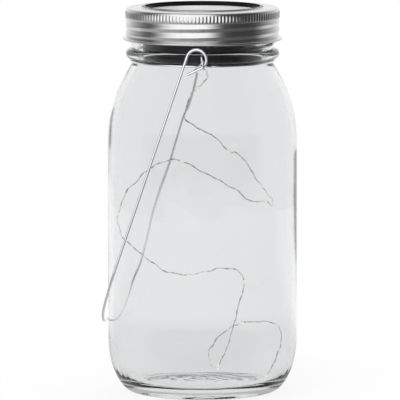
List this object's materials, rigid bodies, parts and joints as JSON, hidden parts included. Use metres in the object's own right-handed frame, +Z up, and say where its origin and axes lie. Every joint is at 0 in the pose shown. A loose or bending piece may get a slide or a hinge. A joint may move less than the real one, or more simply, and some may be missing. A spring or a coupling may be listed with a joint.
{
  "type": "mason jar lantern",
  "caption": "Wide-mouth glass jar lantern with a wire bail, a screw band and a solar light unit whose string of lights hangs inside",
  "frame": {"origin": "on the jar's axis at the surface it stands on", "axes": "+Z up along the jar's axis; the bail swings about the Y axis and leans to -X at rest"},
  "size_m": [0.1147, 0.1227, 0.2272],
  "materials": {
    "glass": "clear, polished",
    "wire": "bright drawn wire",
    "band": "satin tinplate",
    "rubber": "matte",
    "housing": "glossy black",
    "solar_cell": "dark cell under resin",
    "clear_cover": "clear",
    "board": "satin",
    "chip": "matte",
    "ferrite": "matte",
    "steel": "bright",
    "battery": "satin sleeve",
    "knob": "satin",
    "lead": "satin",
    "string": "bright lacquered wire",
    "drop": "clear resin over a pale yellow light"
  },
  "bodies": {
    "jar": {"jar": "glass", "neck_wire": "wire"},
    "bail": {"bail": "wire"},
    "light_unit": {"lid_housing": "housing", "clear_cover": "clear_cover", "bottom_cover": "housing", "gasket": "rubber", "solar_cell": "solar_cell", "circuit_board": "board", "control_chip": "chip", "choke_coil": "ferrite", "board_screws": "steel", "battery_cradle": "housing", "battery": "battery", "contact_spring": "steel", "contact_plate": "steel", "switch_case": "housing", "inner_leads": "lead", "cover_screws": "steel", "wire_grommet": "rubber", "light_string": "string", "led_01": "drop", "led_02": "drop", "led_03": "drop", "led_04": "drop", "led_05": "drop", "led_06": "drop", "led_07": "drop", "led_08": "drop", "led_09": "drop", "led_10": "drop"},
    "band": {"screw_band": "band"},
    "switch": {"switch_knob": "knob"}
  },
  "joints": [
    {"name": "bail_swing", "type": "hinge", "parent": "jar", "child": "bail", "pos_m": [0, 0, 0.199], "axis": [0, 1, 0], "range_deg": [0, 312]},
    {"name": "lid_lift", "type": "slide", "parent": "jar", "child": "light_unit", "axis": [0, 0, 1], "range_m": [0, 0.05]},
    {"name": "band_turn", "type": "hinge", "parent": "light_unit", "child": "band", "pos_m": [0, 0, 0.2172], "axis": [0, 0, 1], "range_deg": [0, 450]},
    {"name": "switch_slide", "type": "slide", "parent": "light_unit", "child": "switch", "axis": [1, 0, 0], "range_m": [0, 0.002]}
  ]
}
